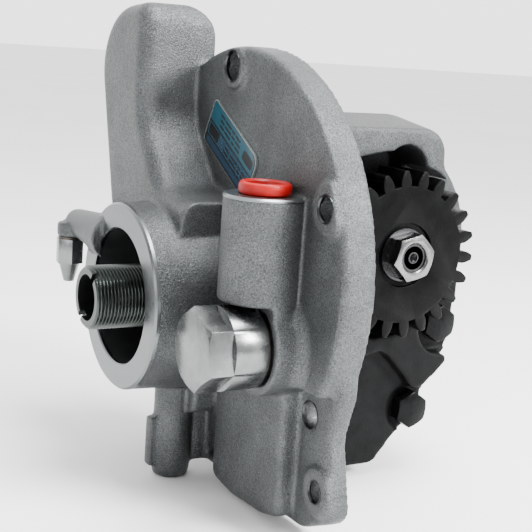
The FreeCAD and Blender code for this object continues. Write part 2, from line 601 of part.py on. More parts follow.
def shaft_nut():
    end = GEAR_Y[0] + GEAR_RECESS_DEPTH - LOCK_WASHER_T
    shape = hexagon("y", NUT_AF, NUT_Y, end, GEAR_X, GEAR_Z, NUT_PHASE, chamfer_start=True)
    mouth = cone("y", SHAFT_THREAD_R + 0.9, SHAFT_THREAD_R, NUT_Y, NUT_Y + 0.9, GEAR_X, GEAR_Z)
    return cut(shape, rod("y", SHAFT_THREAD_R + 0.02, NUT_Y, end, GEAR_X, GEAR_Z), mouth)


# ---- pump casings -------------------------------------------------------------------

def case_outline(y0, y1, bolts):
    """Slot-shaped pump case with a lug out to each bolt."""
    shape = hull("y", CASE_R, (GEAR_X, GEAR_Z), (GEAR_X, DRIVEN_Z), y0, y1)
    lugs = []
    for x, z in bolts:
        centre_z = GEAR_Z if z > 0 else DRIVEN_Z
        lugs.append(hull("y", LUG_R, (x, z), (GEAR_X, centre_z), y0, y1))
    return fuse(shape, *lugs)


def bolt_holes(radius, bolts, y0, y1):
    return [rod("y", radius, y0, y1, x, z) for x, z in bolts]


def figure_eight(radius, y0, y1):
    return fuse(rod("y", radius, y0, y1, GEAR_X, GEAR_Z),
                rod("y", radius, y0, y1, GEAR_X, DRIVEN_Z))


def case_seal(y0, y1, shrink=0.0):
    inner, outer, _ = SEAL_GROOVE
    return hull("y", outer - shrink, (GEAR_X, GEAR_Z), (GEAR_X, DRIVEN_Z), y0, y1).cut(
        hull("y", inner + shrink, (GEAR_X, GEAR_Z), (GEAR_X, DRIVEN_Z), y0, y1))


def cover_seals():
    depth = SEAL_GROOVE[2]
    return Part.makeCompound([case_seal(COVER_Y, COVER_Y + depth - 0.05, 0.05),
                              case_seal(BODY_Y - depth + 0.05, BODY_Y, 0.05)])


def oil_holes(y0, y1):
    right_x, left_x = GEAR_X + OIL_HOLE_X, GEAR_X - OIL_HOLE_X
    return [rod("y", OIL_HOLE_R, y0, y1, right_x, INLET_Z),
            rod("y", OIL_HOLE_R, y0, y1, left_x, OUTLET_Z)]


def pump_body():
    shape = case_outline(COVER_Y, BODY_Y, FRONT_BOLTS + REAR_BOLTS)
    inlet_boss = rod("x", 14.0, 0, GEAR_X - 20, PUMP_MID_Y, INLET_Z)
    outlet_boss = rod("x", 11.5, 0, GEAR_X - 20, PUMP_MID_Y, OUTLET_Z)
    shape = fuse(shape, inlet_boss, outlet_boss)
    depth = SEAL_GROOVE[2]
    right_hole, left_hole = oil_holes(PUMP_MID_Y, BODY_Y)
    shape = cut(shape, figure_eight(CHAMBER_R, COVER_Y, BODY_Y),
                case_seal(COVER_Y, COVER_Y + depth), case_seal(BODY_Y - depth, BODY_Y),
                rod("x", INLET_R, 0, GEAR_X, PUMP_MID_Y, INLET_Z),
                rod("x", INLET_R - 1.5, GEAR_X, GEAR_X + OIL_HOLE_X + 4, PUMP_MID_Y, INLET_Z),
                rod("x", OUTLET_R, 0, GEAR_X - OIL_HOLE_X + OIL_HOLE_R, PUMP_MID_Y, OUTLET_Z),
                right_hole, left_hole,
                port_seal(INLET_R, INLET_Z), port_seal(OUTLET_R, OUTLET_Z))
    shape = cut(shape, *bolt_holes(BOLT_HOLE_R, FRONT_BOLTS + REAR_BOLTS, COVER_Y, BODY_Y))
    return cut(shape, *bolt_holes(DOWEL_R + 0.02, DOWELS, COVER_Y, DOWEL_Y[1]))


def port_seal(port_r, z, shrink=0.0):
    """Square ring in the pump body's face, round a port, against the plate's back."""
    return ring("x", port_r + 4.0 - shrink, port_r + 2.0 + shrink, 0, 1.8 - shrink,
                PUMP_MID_Y, z)


def front_cover():
    y0, y1 = WALL_Y[1], COVER_Y
    shape = fuse(case_outline(y0, y1, FRONT_BOLTS + REAR_BOLTS),
                 prism(BLOCK_OUTLINE, "y", BLOCK_FACE_Y, y1))
    arm = prism(ARM_OUTLINE, "y", ARM_FACE_Y, BLOCK_FACE_Y + 0.5)
    arm = arm.cut(rod("y", ARM_CLEAR_R, ARM_FACE_Y, BLOCK_FACE_Y + 0.5, GEAR_X, GEAR_Z))
    shape = fuse(shape, arm)
    seal_r, _, seal_end = LIP_SEAL
    shape = cut(shape,
                rod("y", GEAR_HUB_R + 1.5, BLOCK_FACE_Y, WALL_Y[0], GEAR_X, GEAR_Z),
                rod("y", JOURNAL_R + 0.5, y0, y1, GEAR_X, GEAR_Z),
                rod("y", seal_r + 0.05, y0, seal_end, GEAR_X, GEAR_Z),
                rod("y", CIRCLIP[0] + 0.1, CIRCLIP[2], CIRCLIP[3], GEAR_X, GEAR_Z))
    spot_radii = [ARM_SPOTFACE_R] + [SPOTFACE_R] * (len(FRONT_BOLTS) - 1)
    for (x, z), radius in zip(FRONT_BOLTS, spot_radii):
        shape = shape.cut(rod("y", radius, ARM_FACE_Y - 1, SPOTFACE_Y, x, z))
    shape = cut(shape, *bolt_holes(BOLT_HOLE_R, FRONT_BOLTS, SPOTFACE_Y, y1))
    shape = cut(shape, *bolt_holes(BOLT_HOLE_R, REAR_BOLTS, y0, y1))
    return cut(shape, *bolt_holes(DOWEL_R + 0.02, DOWELS, DOWEL_Y[0], y1))


def rear_cover():
    shape = case_outline(BODY_Y, REAR_Y, FRONT_BOLTS + REAR_BOLTS)
    right_x, left_x = GEAR_X + OIL_HOLE_X, GEAR_X - OIL_HOLE_X
    channel = hull("y", OIL_HOLE_R, (right_x, INLET_Z), (left_x, OUTLET_Z), BODY_Y, BODY_Y + 6)
    shape = cut(shape, channel,
                *bolt_holes(BOLT_TAPPED_R, FRONT_BOLTS, BODY_Y, REAR_Y - 3))
    rim = [e for e in shape.Edges if e.BoundBox.YMin > REAR_Y - 0.1]
    shape = shape.makeFillet(2.0, rim)
    return cut(shape, *bolt_holes(BOLT_HOLE_R, REAR_BOLTS, BODY_Y, REAR_Y))


def bearing_block(y0, y1):
    shape = figure_eight(BLOCK_R, y0, y1)
    return cut(shape, rod("y", BUSH_HOUSING_R, y0, y1, GEAR_X, GEAR_Z),
               rod("y", BUSH_HOUSING_R, y0, y1, GEAR_X, DRIVEN_Z))


def block_spans():
    return [(COVER_Y + 0.05, GEARS_Y[0]), (GEARS_Y[1], BODY_Y - 0.05)]


def bearing_bushes():
    return Part.makeCompound([ring("y", BUSH_R, BUSH_BORE_R, y0, y1, GEAR_X, z)
                              for y0, y1 in block_spans() for z in (GEAR_Z, DRIVEN_Z)])


def drive_bush():
    return ring("y", WALL_BUSH_R - 0.05, BUSH_BORE_R, WALL_Y[0], WALL_Y[1], GEAR_X, GEAR_Z)


def shaft_seal():
    radius, start, end = LIP_SEAL
    return ring("y", radius, JOURNAL_R + 0.06, start, end, GEAR_X, GEAR_Z)


def seal_circlip():
    outer, inner, start, end = CIRCLIP
    shape = ring("y", outer, inner, start + 0.1, end, GEAR_X, GEAR_Z)
    return shape.cut(block((GEAR_X - 2, GEAR_X + 2), (start, end), (GEAR_Z, GEAR_Z + outer + 1)))


def hood_wire(y, top_z):
    """Outline of the hood in one XZ plane, from the plate's back to the rounded shoulder."""
    lip_x, lip_z = HOOD_LIP
    corners = [(HOOD_EDGE[0][0], HOOD_EDGE[0][1], 0), (0, top_z, 0),
               (HOOD_RIGHT_X, top_z, HOOD_CORNER_R), (HOOD_RIGHT_X, 46, 8), (lip_x, lip_z, 0),
               (50, 38, 0), HOOD_EDGE[1] + (0,)]
    return rounded_wire(corners, "y", y)


def pump_support():
    wall_y0, wall_y1 = WALL_Y
    disc = rod("y", WALL_R, wall_y0, wall_y1, GEAR_X, GEAR_Z)
    below = block((-60, 160), (wall_y0, wall_y1), (-100, WALL_BOTTOM_Z))
    wall = fuse(disc.cut(below),
                block((0, GEAR_X), (wall_y0, wall_y1), (WALL_BOTTOM_Z, FLANGE_Z[1])))
    wall = wall.common(block((0, 160), (wall_y0, wall_y1), (-100, 100)))
    hood = Part.makeLoft([hood_wire(HOOD_Y[0], HOOD_TOP_Z[0]), hood_wire(HOOD_Y[1], HOOD_TOP_Z[1])],
                         True, True)
    flange = block((0, FLANGE_X), (wall_y1 - 1, FLANGE_Y), FLANGE_Z)
    shape = fuse(wall, hood, flange)
    relief_x, relief_z, relief_r = RELIEF_CUT
    (x0, z0), (x1, z1) = HOOD_EDGE
    shape = cut(shape,
                rod("y", GEAR_ROOM_R, HOOD_Y[0], wall_y0, GEAR_X, GEAR_Z),
                rod("y", relief_r, HOOD_Y[0], wall_y1 - 2, relief_x, relief_z),
                prism([(x0, 5, 0), (x0, z0, 0), (x1, z1, 0), (x1, 5, 0)], "y", HOOD_Y[0], wall_y0),
                rod("y", WALL_BUSH_R, wall_y0, wall_y1, GEAR_X, GEAR_Z),
                rod("y", seal_room_r(), wall_y1 - 0.5, wall_y1, GEAR_X, GEAR_Z))
    shape = cut(shape, *bolt_holes(BOLT_TAPPED_R, REAR_BOLTS, wall_y0 + 2, wall_y1))
    for y, z in SUPPORT_SCREWS:
        shape = shape.cut(rod("x", SCREW_R + 0.3, 0, FLANGE_X, y, z))
    return shape


def seal_room_r():
    return CIRCLIP[1] - 1.0


# ---- fasteners ----------------------------------------------------------------------

def hex_bolt(x, z, head_y, under_y, tip_y):
    head = (hexagon("y", BOLT_AF, head_y, under_y, x, z, 4.0, chamfer_start=True)
            if head_y < under_y else
            hexagon("y", BOLT_AF, under_y, head_y, x, z, 4.0, chamfer_end=True))
    low, high = sorted((under_y, tip_y))
    return fuse(head, rod("y", BOLT_R, low, high, x, z))


def cover_bolts():
    return Part.makeCompound([hex_bolt(x, z, SPOTFACE_Y - BOLT_HEAD_H, SPOTFACE_Y, REAR_Y - 5)
                              for x, z in FRONT_BOLTS])


def rear_bolts():
    return Part.makeCompound([hex_bolt(x, z, REAR_Y + BOLT_HEAD_H, REAR_Y, WALL_Y[0] + 3)
                              for x, z in REAR_BOLTS])


def support_screws():
    screws = []
    for y, z in SUPPORT_SCREWS:
        head = rod("x", SCREW_HEAD_R, FLANGE_X, FLANGE_X + SCREW_HEAD_H, y, z)
        head = head.cut(hexagon("x", 5.0, FLANGE_X + 3, FLANGE_X + SCREW_HEAD_H, y, z))
        screws.append(fuse(head, rod("x", SCREW_R, -8.0, FLANGE_X, y, z)))
    return Part.makeCompound(screws)


def dowel_pins():
    return Part.makeCompound([rod("y", DOWEL_R, DOWEL_Y[0] + 0.2, DOWEL_Y[1] - 0.2, x, z)
                              for x, z in DOWELS])


# ---- write every sub-part -----------------------------------------------------------

NODES = {
    "manifold_housing": manifold_housing,
    "filter_stub": filter_stub,
    "flange_seal": flange_seal,
    "gallery_plug": gallery_plug,
    "relief_cap": relief_cap,
    "relief_cap_washer": relief_cap_washer,
    "relief_seat": relief_seat,
    "relief_poppet": relief_poppet,
    "relief_spring": relief_spring,
    "port_plug": port_plug,
    "label_plate": label_plate,
    "side_union": side_union,
    "side_union_washer": side_union_washer,
    "drive_gear": drive_gear,
    "drive_shaft": drive_shaft,
    "drive_key": lambda: key_slot(0.0),
    "lock_washer": lock_washer,
    "shaft_nut": shaft_nut,
    "driven_gear": driven_gear,
    "pump_support": pump_support,
    "drive_bush": drive_bush,
    "front_cover": front_cover,
    "shaft_seal": shaft_seal,
    "seal_circlip": seal_circlip,
    "pump_body": pump_body,
    "rear_cover": rear_cover,
    "front_bearing_block": lambda: bearing_block(*block_spans()[0]),
    "rear_bearing_block": lambda: bearing_block(*block_spans()[1]),
    "bearing_bushes": bearing_bushes,
    "cover_seals": cover_seals,
    "inlet_port_seal": lambda: port_seal(INLET_R, INLET_Z, 0.05),
    "outlet_port_seal": lambda: port_seal(OUTLET_R, OUTLET_Z, 0.05),
    "cover_bolts": cover_bolts,
    "rear_bolts": rear_bolts,
    "support_screws": support_screws,
    "dowel_pins": dowel_pins,
}

for node_name, make in NODES.items():
    save(node_name, make())
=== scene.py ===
"""Looks of the hydraulic gear pump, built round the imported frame. Lengths are in metres.

The cast parts are eased into soft sand-cast skins, their machined faces are added back as
crisp turned pieces, and the nipple, shaft and plugs get threads, chamfers and turned detail.
"""
import json
import math

import bmesh
import bpy
import numpy as np
from mathutils import Matrix, Vector


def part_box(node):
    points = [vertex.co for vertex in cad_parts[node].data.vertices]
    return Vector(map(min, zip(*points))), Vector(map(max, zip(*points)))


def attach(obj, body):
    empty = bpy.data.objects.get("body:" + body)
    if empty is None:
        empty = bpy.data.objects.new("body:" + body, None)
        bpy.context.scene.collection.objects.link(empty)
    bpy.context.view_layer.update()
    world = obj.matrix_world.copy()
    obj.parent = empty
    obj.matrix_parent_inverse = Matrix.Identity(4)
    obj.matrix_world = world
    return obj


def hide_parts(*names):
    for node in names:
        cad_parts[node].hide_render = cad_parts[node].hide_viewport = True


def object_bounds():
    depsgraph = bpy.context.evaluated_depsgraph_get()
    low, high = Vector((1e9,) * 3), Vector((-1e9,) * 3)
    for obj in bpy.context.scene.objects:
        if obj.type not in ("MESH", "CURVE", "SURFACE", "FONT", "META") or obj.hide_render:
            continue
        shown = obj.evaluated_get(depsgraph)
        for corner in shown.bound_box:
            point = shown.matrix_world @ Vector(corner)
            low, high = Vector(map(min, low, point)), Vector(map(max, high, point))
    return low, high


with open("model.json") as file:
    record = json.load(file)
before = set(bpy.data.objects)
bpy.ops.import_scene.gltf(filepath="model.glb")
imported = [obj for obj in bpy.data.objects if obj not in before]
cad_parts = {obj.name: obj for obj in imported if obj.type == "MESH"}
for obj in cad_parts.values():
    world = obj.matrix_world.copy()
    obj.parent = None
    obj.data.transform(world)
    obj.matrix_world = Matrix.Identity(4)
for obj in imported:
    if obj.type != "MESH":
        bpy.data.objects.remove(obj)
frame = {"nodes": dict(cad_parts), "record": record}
cad_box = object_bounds()

MM = 0.001
AXES = {"x": Vector((1, 0, 0)), "y": Vector((0, 1, 0)), "z": Vector((0, 0, 1))}
HOUSING, SHAFT = "housing", "drive_shaft_assembly"


# ---- places read from the frame -----------------------------------------------------

def mount(name):
    return next(m for m in frame["record"]["mounts"] if m["name"] == name)


def middle(node):
    low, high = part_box(node)
    return (low + high) / 2


FILTER = middle("filter_stub")
CAP = middle("relief_cap")
PORT = middle("port_plug")
GEAR = middle("drive_gear")
RING_X = mount("filter_gasket_face")["pos_m"][0]
PLATE_FACE_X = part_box("label_plate")[1].x


# ---- mesh helpers -------------------------------------------------------------------

def new_piece(name, mesh, body, material, replaces=()):
    """Puts a mesh in the scene as a piece of one body and hides the CAD nodes it replaces."""
    obj = bpy.data.objects.new(name, mesh)
    bpy.context.scene.collection.objects.link(obj)
    mesh.materials.clear()
    mesh.materials.append(material)
    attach(obj, body)
    if replaces:
        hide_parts(*replaces)
    return obj


def shade(mesh, degrees=32):
    for polygon in mesh.polygons:
        polygon.use_smooth = True
    mesh.set_sharp_from_angle(angle=math.radians(degrees))


def mesh_of(bm, name):
    bmesh.ops.recalc_face_normals(bm, faces=bm.faces)
    mesh = bpy.data.meshes.new(name)
    bm.to_mesh(mesh)
    bm.free()
    return mesh


def applied(mesh, name, *modifiers):
    """The mesh after modifiers, each given as (type, settings)."""
    obj = bpy.data.objects.new(name, mesh)
    bpy.context.scene.collection.objects.link(obj)
    for kind, settings in modifiers:
        mod = obj.modifiers.new(kind.lower(), kind)
        for key, value in settings.items():
            setattr(mod, key, value)
    graph = bpy.context.evaluated_depsgraph_get()
    result = bpy.data.meshes.new_from_object(obj.evaluated_get(graph))
    bpy.data.objects.remove(obj)
    result.name = name
    return result


def basis(axis):
    """The two directions round an axis; the first is where angle 0 points."""
    along = AXES[axis]
    first = AXES["y"] if axis == "z" else AXES["z"]
    return along, first, along.cross(first)


def lathe(name, axis, centre, profile, segments=96, closed=True):
    """Turned piece: profile is (place along the axis, radius) points, both in metres."""
    along, first, second = basis(axis)
    base = Vector(centre)
    base -= along * base.dot(along)
    bm = bmesh.new()
    rings = []
    for place, radius in profile:
        if radius < 1e-7:
            rings.append([bm.verts.new(base + along * place)])
            continue
        rings.append([bm.verts.new(base + along * place + radius
                                   * (first * math.cos(t) + second * math.sin(t)))
                      for t in (2 * math.pi * k / segments for k in range(segments))])
    pairs = list(zip(rings, rings[1:])) + ([(rings[-1], rings[0])] if closed else [])
    for a, b in pairs:
        for k in range(segments):
            n = (k + 1) % segments
            corners = [a[k % len(a)], a[n % len(a)], b[n % len(b)], b[k % len(b)]]
            unique = list(dict.fromkeys(corners))
            if len(unique) > 2:
                bm.faces.new(unique)
    mesh = mesh_of(bm, name)
    shade(mesh)
    return mesh


def soften(node, width):
    """A CAD node's mesh with a small bevel on every sharp edge."""
    bm = bmesh.new()
    bm.from_mesh(frame["nodes"][node].data)
    bmesh.ops.remove_doubles(bm, verts=bm.verts, dist=2e-6)
    bmesh.ops.dissolve_limit(bm, angle_limit=math.radians(0.6), verts=bm.verts, edges=bm.edges)
    mesh = mesh_of(bm, node + "_soft")
    result = applied(mesh, node + "_soft", ("BEVEL", {
        "width": width, "segments": 2, "limit_method": "ANGLE",
        "angle_limit": math.radians(35), "harden_normals": False, "use_clamp_overlap": True}))
    shade(result, 40)
    return result


def positions(mesh):
    co = np.empty(len(mesh.vertices) * 3)
    mesh.vertices.foreach_get("co", co)
    return co.reshape(-1, 3)


def recast(node, voxel, passes, ease=None):
    """A casting's skin: the CAD solid remeshed and eased, so that its cast edges turn round.

    ease(points) gives how strongly each point may be eased, from 0 to 1.
    """
    mesh = applied(frame["nodes"][node].data.copy(), node + "_skin",
                   ("REMESH", {"mode": "VOXEL", "voxel_size": voxel, "adaptivity": 0.0}))
    co = positions(mesh)
    edges = np.empty(len(mesh.edges) * 2, int)
    mesh.edges.foreach_get("vertices", edges)
    a, b = edges.reshape(-1, 2).T
    count = len(co)
    degree = np.bincount(np.concatenate([a, b]), minlength=count)
    strength = np.ones(count) if ease is None else ease(co)
    for _ in range(passes):
        mean = np.stack([np.bincount(a, co[b, k], count) + np.bincount(b, co[a, k], count)
                         for k in range(3)], 1) / degree[:, None]
        co += (0.55 * strength)[:, None] * (mean - co)
    mesh.vertices.foreach_set("co", co.ravel())
    mesh.update()
    for polygon in mesh.polygons:
        polygon.use_smooth = True
    return mesh


def flat_prism(name, outline, x_face, thickness, tilt, centre):
    """Thin plate in a plane X = x_face from (along, across) corners, turned by tilt degrees."""
    bm = bmesh.new()
    c, s = math.cos(math.radians(tilt)), math.sin(math.radians(tilt))
    def corner(u, v, x):
        return bm.verts.new((x, centre.y + u * c - v * s, centre.z + u * s + v * c))
    front = [corner(u, v, x_face - thickness) for u, v in outline]
    back = [corner(u, v, x_face) for u, v in outline]
    bm.faces.new(front)
    bm.faces.new(list(reversed(back)))
    count = len(outline)
    for k in range(count):
        n = (k + 1) % count
        bm.faces.new((front[k], back[k], back[n], front[n]))
    mesh = mesh_of(bm, name)
    shade(mesh)
    return mesh


# ---- procedural materials -----------------------------------------------------------

class Surface:
    """A Principled material with small helpers for its procedural nodes."""

    def __init__(self, name, metallic, roughness, coat=0.0):
        self.material = bpy.data.materials.new(name)
        self.material.use_nodes = True
        self.tree = self.material.node_tree
        self.shader = self.tree.nodes["Principled BSDF"]
        self.shader.inputs["Metallic"].default_value = metallic
        self.shader.inputs["Roughness"].default_value = roughness
        self.shader.inputs["Coat Weight"].default_value = coat
        self.place = self.add("ShaderNodeTexCoord").outputs["Object"]

    def add(self, kind, **inputs):
        node = self.tree.nodes.new(kind)
        for key, value in inputs.items():
            self.put(node.inputs[key.replace("_", " ")], value)
        return node

    def put(self, socket, value):
        if isinstance(value, bpy.types.NodeSocket):
            self.tree.links.new(value, socket)
        else:
            socket.default_value = value

    def noise(self, size, detail=3.0, rough=0.55, stretch=None):
        place = self.place
        if stretch:
            place = self.add("ShaderNodeMapping", Vector=place, Scale=stretch).outputs[0]
        return self.add("ShaderNodeTexNoise", Vector=place, Scale=1 / size, Detail=detail,
                        Roughness=rough).outputs["Fac"]

    def cells(self, size, output="Distance"):
        return self.add("ShaderNodeTexVoronoi", Vector=self.place, Scale=1 / size).outputs[output]

    def rings(self, axis, centre, size):
        """Turning marks: fine rings round an axis."""
        shift = self.add("ShaderNodeMapping", Vector=self.place,
                         Location=[-c for c in centre]).outputs[0]
        node = self.add("ShaderNodeTexWave", Vector=shift, Scale=1 / size, Distortion=0.6,
                        Detail=2.0)
        node.wave_type = "RINGS"
        node.rings_direction = axis.upper()
        return node.outputs["Fac"]

    def ramp(self, factor, *stops):
        node = self.add("ShaderNodeValToRGB", Fac=factor)
        elements = node.color_ramp.elements
        while len(elements) < len(stops):
            elements.new(0.5)
        for element, (place, colour) in zip(elements, stops):
            element.position = place
            element.color = (*colour, 1) if len(colour) == 3 else colour
        return node.outputs["Color"]

    def spread(self, factor, low, high, start=0.0, end=1.0):
        node = self.add("ShaderNodeMapRange", Value=factor)
        for key, value in (("From Min", start), ("From Max", end), ("To Min", low),
                           ("To Max", high)):
            node.inputs[key].default_value = value
        return node.outputs[0]

    def mix(self, factor, a, b, blend="MIX"):
        node = self.tree.nodes.new("ShaderNodeMix")
        node.data_type = "RGBA"
        node.blend_type = blend
        for socket, value in ((node.inputs[0], factor), (node.inputs[6], a), (node.inputs[7], b)):
            self.put(socket, value if not isinstance(value, tuple) else (*value, 1))
        return node.outputs[2]

    def bump(self, height, strength, distance, normal=None):
        node = self.add("ShaderNodeBump", Height=height, Strength=strength, Distance=distance)
        if normal is not None:
            self.put(node.inputs["Normal"], normal)
        return node.outputs[0]

    def finish(self, colour=None, roughness=None, normal=None):
        for key, value in (("Base Color", colour), ("Roughness", roughness), ("Normal", normal)):
            if value is not None:
                self.put(self.shader.inputs[key], value)
        return self.material


def grey(value, tint=(1.0, 1.0, 1.0)):
    return tuple(value * t for t in tint)


COOL = (0.94, 1.0, 1.02)


def sand_cast(name, dark, light, sparkle=0.5):
    """Raw sand-cast aluminium: dark and light grains, faint blotches, and bright specks painted in
    as glints.
    """
    s = Surface(name, 0.72, 0.42)
    blotch = s.noise(18 * MM, 4.0)
    grain = s.noise(0.70 * MM, 3.0, 0.75)
    pits = s.cells(0.75 * MM)
    painted_glint = s.spread(s.noise(0.45 * MM, 2.0, 0.8), 0.0, sparkle, 0.60, 0.74)
    base = s.ramp(blotch, (0.3, grey(dark, COOL)), (0.72, grey(light, COOL)))
    base = s.mix(s.spread(grain, 0.0, 0.9, 0.42, 0.66), base, grey(dark * 0.35, COOL))
    # painted glint: small noise specks lifted to four times the light tone stand in for sparkling
    # reflections
    base = s.mix(painted_glint, base, grey(min(1.0, light * 4.0), COOL))
    fine = s.bump(grain, 0.80, 0.34 * MM)
    pitted = s.bump(pits, 0.45, 0.30 * MM, fine)
    lumps = s.bump(s.noise(3.5 * MM, 3.0), 0.30, 0.5 * MM, pitted)
    return s.finish(base, s.spread(grain, 0.32, 0.56), lumps)


def machined(name, value, axis, centre, pitch=0.35 * MM, rough=0.26):
    """Turned aluminium or steel face, with fine rings and a few wipe marks."""
    s = Surface(name, 1.0, rough)
    marks = s.rings(axis, centre, pitch * 6)
    wipe = s.noise(9 * MM, 5.0, 0.65)
    base = s.ramp(wipe, (0.35, grey(value * 0.86, COOL)), (0.7, grey(value, COOL)))
    return s.finish(base, s.spread(wipe, rough * 0.8, rough * 1.5),
                    s.bump(marks, 0.10, 0.05 * MM))


def plated(name, colour, rough=0.30, grain=0.25):
    """Zinc or oxide plating over turned steel: fine grain, stains and rubbed spots."""
    s = Surface(name, 1.0, rough)
    stain = s.noise(6 * MM, 5.0, 0.6)
    fine = s.noise(0.5 * MM, 3.0, 0.6)
    dark = tuple(c * 0.72 for c in colour)
    base = s.ramp(stain, (0.3, dark), (0.68, colour))
    return s.finish(base, s.spread(stain, rough * 0.75, rough * 1.6),
                    s.bump(fine, grain, 0.08 * MM))


def blackened(name, value, rough=0.38, metallic=0.65, lump=1.6 * MM):
    """Black phosphated iron or oiled gear steel, with bright specks in its grain that are partly
    wear and partly painted glint.
    """
    s = Surface(name, metallic, rough)
    s.shader.inputs["Specular IOR Level"].default_value = 0.07
    blotch = s.noise(8 * MM, 5.0, 0.65)
    grain = s.noise(0.8 * MM, 4.0, 0.7)
    base = s.ramp(blotch, (0.3, grey(value * 0.55, COOL)), (0.75, grey(value * 1.5, COOL)))
    wear_and_glint = s.spread(grain, 0.0, 0.35, 0.62, 0.80)
    # bright grain specks: partly real wear, partly painted glint standing in for reflections
    base = s.mix(wear_and_glint, base, grey(value * 5, COOL))
    normal = s.bump(s.noise(lump, 3.0), 0.35, 0.3 * MM, s.bump(grain, 0.4, 0.2 * MM))
    return s.finish(base, s.spread(blotch, rough * 0.7, rough * 1.5), normal)


def moulded(name, colour, rough=0.42):
    """Soft moulded plastic with a faint mould grain."""
    s = Surface(name, 0.0, rough)
    s.shader.inputs["Specular IOR Level"].default_value = 0.3
    s.shader.inputs["Subsurface Weight"].default_value = 0.08
    s.shader.inputs["Subsurface Radius"].default_value = (0.002, 0.0006, 0.0004)
    cloud = s.noise(5 * MM, 3.0)
    dark = tuple(c * 0.82 for c in colour)
    base = s.ramp(cloud, (0.3, dark), (0.7, colour))
    return s.finish(base, s.spread(cloud, rough * 0.85, rough * 1.2),
                    s.bump(s.noise(0.6 * MM), 0.12, 0.05 * MM))


def printed(name, colour, rough=0.30):
    """Printed foil: flat ink with a fine brushed grain under it."""
    s = Surface(name, 0.35, rough, coat=0.2)
    brush = s.noise(1.2 * MM, 4.0, 0.6, stretch=(1, 1, 6))
    dark = tuple(c * 0.80 for c in colour)
    base = s.ramp(brush, (0.35, dark), (0.65, colour))
    return s.finish(base, s.spread(brush, rough * 0.8, rough * 1.3),
                    s.bump(brush, 0.06, 0.03 * MM))


CAST = sand_cast("sand_cast_aluminium", 0.070, 0.125)
CAST_PUMP = sand_cast("sand_cast_support", 0.060, 0.090, 0.3)
RING_METAL = machined("turned_aluminium_ring", 0.17, "x", FILTER)
RECESS_METAL = machined("bored_aluminium", 0.06, "x", FILTER, 0.6 * MM, 0.5)
WELL_METAL = machined("recess_floor_shade", 0.03, "x", FILTER, 0.6 * MM, 0.6)
LAND_METAL = machined("turned_aluminium_land", 0.24, "z", PORT)
HOLE_METAL = machined("drilled_aluminium", 0.06, "x", (0, 0, 0))
BODY_METAL = machined("extruded_aluminium", 0.28, "z", GEAR, 0.8 * MM, 0.34)
ZINC = plated("zinc_plate", (0.20, 0.208, 0.208), 0.22)
NUT_ZINC = plated("zinc_nut", (0.20, 0.205, 0.20), 0.22)
STUB_STEEL = plated("phosphated_steel", (0.062, 0.072, 0.066), 0.30)
GROUND = plated("ground_steel", (0.05, 0.05, 0.052), 0.26, 0.1)
COPPER = plated("copper_washer", (0.10, 0.085, 0.075), 0.42)
BRONZE = plated("sintered_bronze", (0.46, 0.33, 0.17), 0.42, 0.5)
IRON = blackened("black_iron", 0.006, 0.42, 0.35)
GEAR_STEEL = blackened("black_gear_steel", 0.0032, 0.30, 0.35, 1.0 * MM)
BOLT_BLACK = blackened("black_oxide", 0.006, 0.26, 0.5, 2.5 * MM)
SPRING = plated("spring_steel", (0.22, 0.22, 0.23), 0.3)
RED = moulded("red_plastic", (0.36, 0.002, 0.002))
RUBBER = moulded("nitrile_rubber", (0.025, 0.025, 0.027), 0.6)
TEAL = printed("label_teal", (0.006, 0.070, 0.105))
STEEL_BLUE = printed("label_blue", (0.008, 0.035, 0.075))
INK = printed("label_ink", (0.001, 0.0015, 0.003), 0.30)
FOIL = printed("label_foil", (0.24, 0.27, 0.27), 0.25)
FOIL_BLUE = printed("label_band", (0.012, 0.050, 0.085), 0.25)


# ---- manifold -----------------------------------------------------------------------

def distance_to_axis(co, axis, centre):
    free = [k for k in range(3) if k != "xyz".index(axis)]
    return np.linalg.norm(co[:, free] - np.array([centre[k] for k in free]), axis=1)


def manifold_ease(co):
    """Cast surfaces ease fully; the plate's machined back and the filter bore hardly."""
    strength = np.ones(len(co))
    strength[co[:, 0] > -1.2 * MM] = 0.10
    bore = (distance_to_axis(co, "x", FILTER) < 33 * MM) & (co[:, 0] < -30 * MM)
    strength[bore] = 0.15
    return strength


def manifold():
    """The main casting's skin, in place of its CAD node."""
    mesh = recast("manifold_housing", 0.85 * MM, 7, manifold_ease)
    new_piece("manifold_skin", mesh, HOUSING, CAST, ("manifold_housing",))


def filter_ring():
    """The gasket face and the bored recess, turned in one set-up."""
    face, outer, inner = RING_X - 0.08 * MM, 41.85 * MM, 30.35 * MM
    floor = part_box("filter_stub")[0].x + 40.8 * MM
    chamfer = 0.9 * MM
    lip = face + 2.2 * MM
    skin = 0.5 * MM
    face_profile = [(lip, outer + 0.1 * MM), (face + chamfer, outer), (face, outer - chamfer),
                    (face, inner + chamfer * 0.6), (face + chamfer * 0.6, inner), (lip, inner)]
    wall_profile = [(lip, inner), (floor, inner), (floor, inner + skin), (lip, inner + skin)]
    floor_profile = [(floor - 0.05 * MM, inner), (floor - 0.05 * MM, 14.0 * MM),
                     (floor + skin, 14.0 * MM), (floor + skin, inner)]
    for name, profile, material in (("filter_ring_face", face_profile, RING_METAL),
                                    ("filter_recess_wall", wall_profile, RECESS_METAL),
                                    ("filter_recess_floor", floor_profile, WELL_METAL)):
        mesh = lathe(name, "x", FILTER, profile, 160)
        new_piece(name, mesh, HOUSING, material)


def port_land():
    """Spot-faced land of the delivery port with its chamfered bore."""
    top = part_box("port_plug")[0].z + 11.7 * MM + 0.06 * MM
    profile = [(top - 1.4 * MM, 16.9 * MM), (top - 0.7 * MM, 16.9 * MM), (top, 16.2 * MM),
               (top, 10.9 * MM), (top - 1.5 * MM, 9.35 * MM), (top - 30 * MM, 9.35 * MM),
               (top - 30 * MM, 9.6 * MM), (top - 1.9 * MM, 9.6 * MM), (top - 1.4 * MM, 11 * MM)]
    mesh = lathe("port_land", "z", PORT, profile, 128)
    new_piece("port_land", mesh, HOUSING, LAND_METAL)


